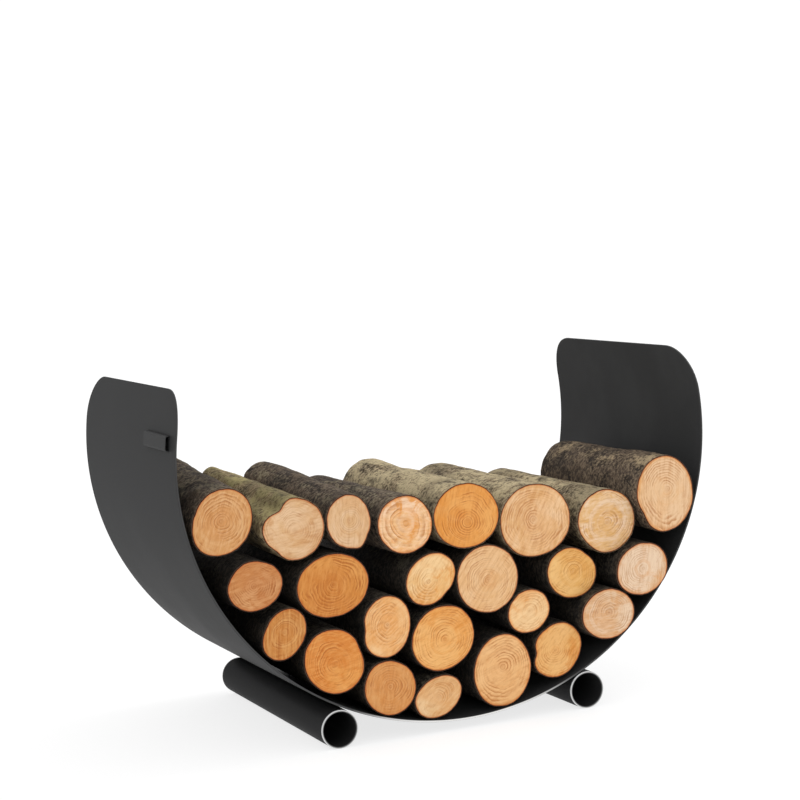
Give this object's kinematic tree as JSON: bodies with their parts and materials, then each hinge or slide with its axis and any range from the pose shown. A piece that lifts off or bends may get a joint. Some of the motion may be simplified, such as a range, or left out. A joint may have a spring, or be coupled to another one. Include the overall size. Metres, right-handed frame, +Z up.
{
  "type": "firewood log rack",
  "caption": "Open-topped firewood rack: a dark curved steel cradle on tubular feet, loaded with loose round logs that pull out of the front.",
  "frame": {"origin": "middle of the bounding box in X and Y, at floor level", "axes": "+X across the cradle towards its right wall, -Y out of the open front, +Z up"},
  "size_m": [0.6035, 0.33, 0.3772],
  "materials": {
    "cradle_coating": "satin black powder coat",
    "side_sleeve_coating": "satin black powder coat",
    "foot_coating_left": "satin black powder coat",
    "foot_coating_right": "satin black powder coat",
    "screw_steel_left_front": "plain steel",
    "rivet_nut_zinc_left_front": "zinc plated",
    "screw_steel_left_rear": "plain steel",
    "rivet_nut_zinc_left_rear": "zinc plated",
    "screw_steel_right_front": "plain steel",
    "rivet_nut_zinc_right_front": "zinc plated",
    "screw_steel_right_rear": "plain steel",
    "rivet_nut_zinc_right_rear": "zinc plated",
    "log_top_1_wood": "sawn end grain with bark",
    "log_top_2_wood": "sawn end grain with bark",
    "log_top_3_wood": "sawn end grain with bark",
    "log_top_4_wood": "sawn end grain with bark",
    "log_top_5_wood": "sawn end grain with bark",
    "log_top_6_wood": "sawn end grain with bark",
    "log_top_7_wood": "sawn end grain with bark",
    "log_top_8_wood": "sawn end grain with bark",
    "log_upper_1_wood": "sawn end grain with bark",
    "log_upper_2_wood": "sawn end grain with bark",
    "log_upper_3_wood": "sawn end grain with bark",
    "log_upper_4_wood": "sawn end grain with bark",
    "log_upper_5_wood": "sawn end grain with bark",
    "log_upper_6_wood": "sawn end grain with bark",
    "log_lower_1_wood": "sawn end grain with bark",
    "log_lower_2_wood": "sawn end grain with bark",
    "log_lower_3_wood": "sawn end grain with bark",
    "log_lower_4_wood": "sawn end grain with bark",
    "log_lower_5_wood": "sawn end grain with bark",
    "log_base_1_wood": "sawn end grain with bark",
    "log_base_2_wood": "sawn end grain with bark",
    "log_base_3_wood": "sawn end grain with bark",
    "log_base_4_wood": "sawn end grain with bark",
    "log_base_5_wood": "sawn end grain with bark"
  },
  "bodies": {
    "rack": {"cradle": "cradle_coating", "foot_left": "foot_coating_left", "foot_right": "foot_coating_right", "side_sleeve": "side_sleeve_coating", "screw_left_front": "screw_steel_left_front", "screw_left_rear": "screw_steel_left_rear", "screw_right_front": "screw_steel_right_front", "screw_right_rear": "screw_steel_right_rear", "rivet_nut_left_front": "rivet_nut_zinc_left_front", "rivet_nut_left_rear": "rivet_nut_zinc_left_rear", "rivet_nut_right_front": "rivet_nut_zinc_right_front", "rivet_nut_right_rear": "rivet_nut_zinc_right_rear"},
    "log_top_1": {"log_top_1": "log_top_1_wood"},
    "log_top_2": {"log_top_2": "log_top_2_wood"},
    "log_top_3": {"log_top_3": "log_top_3_wood"},
    "log_top_4": {"log_top_4": "log_top_4_wood"},
    "log_top_5": {"log_top_5": "log_top_5_wood"},
    "log_top_6": {"log_top_6": "log_top_6_wood"},
    "log_top_7": {"log_top_7": "log_top_7_wood"},
    "log_top_8": {"log_top_8": "log_top_8_wood"},
    "log_upper_1": {"log_upper_1": "log_upper_1_wood"},
    "log_upper_2": {"log_upper_2": "log_upper_2_wood"},
    "log_upper_3": {"log_upper_3": "log_upper_3_wood"},
    "log_upper_4": {"log_upper_4": "log_upper_4_wood"},
    "log_upper_5": {"log_upper_5": "log_upper_5_wood"},
    "log_upper_6": {"log_upper_6": "log_upper_6_wood"},
    "log_lower_1": {"log_lower_1": "log_lower_1_wood"},
    "log_lower_2": {"log_lower_2": "log_lower_2_wood"},
    "log_lower_3": {"log_lower_3": "log_lower_3_wood"},
    "log_lower_4": {"log_lower_4": "log_lower_4_wood"},
    "log_lower_5": {"log_lower_5": "log_lower_5_wood"},
    "log_base_1": {"log_base_1": "log_base_1_wood"},
    "log_base_2": {"log_base_2": "log_base_2_wood"},
    "log_base_3": {"log_base_3": "log_base_3_wood"},
    "log_base_4": {"log_base_4": "log_base_4_wood"},
    "log_base_5": {"log_base_5": "log_base_5_wood"}
  },
  "joints": [
    {"name": "pull_log_top_1", "type": "slide", "parent": "rack", "child": "log_top_1", "axis": [0, -1, 0], "range_m": [0, 0.27]},
    {"name": "pull_log_top_2", "type": "slide", "parent": "rack", "child": "log_top_2", "axis": [0, -1, 0], "range_m": [0, 0.27]},
    {"name": "pull_log_top_3", "type": "slide", "parent": "rack", "child": "log_top_3", "axis": [0, -1, 0], "range_m": [0, 0.27]},
    {"name": "pull_log_top_4", "type": "slide", "parent": "rack", "child": "log_top_4", "axis": [0, -1, 0], "range_m": [0, 0.27]},
    {"name": "pull_log_top_5", "type": "slide", "parent": "rack", "child": "log_top_5", "axis": [0, -1, 0], "range_m": [0, 0.27]},
    {"name": "pull_log_top_6", "type": "slide", "parent": "rack", "child": "log_top_6", "axis": [0, -1, 0], "range_m": [0, 0.27]},
    {"name": "pull_log_top_7", "type": "slide", "parent": "rack", "child": "log_top_7", "axis": [0, -1, 0], "range_m": [0, 0.27]},
    {"name": "pull_log_top_8", "type": "slide", "parent": "rack", "child": "log_top_8", "axis": [0, -1, 0], "range_m": [0, 0.27]},
    {"name": "pull_log_upper_1", "type": "slide", "parent": "rack", "child": "log_upper_1", "axis": [0, -1, 0], "range_m": [0, 0.27]},
    {"name": "pull_log_upper_2", "type": "slide", "parent": "rack", "child": "log_upper_2", "axis": [0, -1, 0], "range_m": [0, 0.27]},
    {"name": "pull_log_upper_3", "type": "slide", "parent": "rack", "child": "log_upper_3", "axis": [0, -1, 0], "range_m": [0, 0.27]},
    {"name": "pull_log_upper_4", "type": "slide", "parent": "rack", "child": "log_upper_4", "axis": [0, -1, 0], "range_m": [0, 0.27]},
    {"name": "pull_log_upper_5", "type": "slide", "parent": "rack", "child": "log_upper_5", "axis": [0, -1, 0], "range_m": [0, 0.27]},
    {"name": "pull_log_upper_6", "type": "slide", "parent": "rack", "child": "log_upper_6", "axis": [0, -1, 0], "range_m": [0, 0.27]},
    {"name": "pull_log_lower_1", "type": "slide", "parent": "rack", "child": "log_lower_1", "axis": [0, -1, 0], "range_m": [0, 0.27]},
    {"name": "pull_log_lower_2", "type": "slide", "parent": "rack", "child": "log_lower_2", "axis": [0, -1, 0], "range_m": [0, 0.27]},
    {"name": "pull_log_lower_3", "type": "slide", "parent": "rack", "child": "log_lower_3", "axis": [0, -1, 0], "range_m": [0, 0.27]},
    {"name": "pull_log_lower_4", "type": "slide", "parent": "rack", "child": "log_lower_4", "axis": [0, -1, 0], "range_m": [0, 0.27]},
    {"name": "pull_log_lower_5", "type": "slide", "parent": "rack", "child": "log_lower_5", "axis": [0, -1, 0], "range_m": [0, 0.27]},
    {"name": "pull_log_base_1", "type": "slide", "parent": "rack", "child": "log_base_1", "axis": [0, -1, 0], "range_m": [0, 0.27]},
    {"name": "pull_log_base_2", "type": "slide", "parent": "rack", "child": "log_base_2", "axis": [0, -1, 0], "range_m": [0, 0.27]},
    {"name": "pull_log_base_3", "type": "slide", "parent": "rack", "child": "log_base_3", "axis": [0, -1, 0], "range_m": [0, 0.27]},
    {"name": "pull_log_base_4", "type": "slide", "parent": "rack", "child": "log_base_4", "axis": [0, -1, 0], "range_m": [0, 0.27]},
    {"name": "pull_log_base_5", "type": "slide", "parent": "rack", "child": "log_base_5", "axis": [0, -1, 0], "range_m": [0, 0.27]}
  ]
}
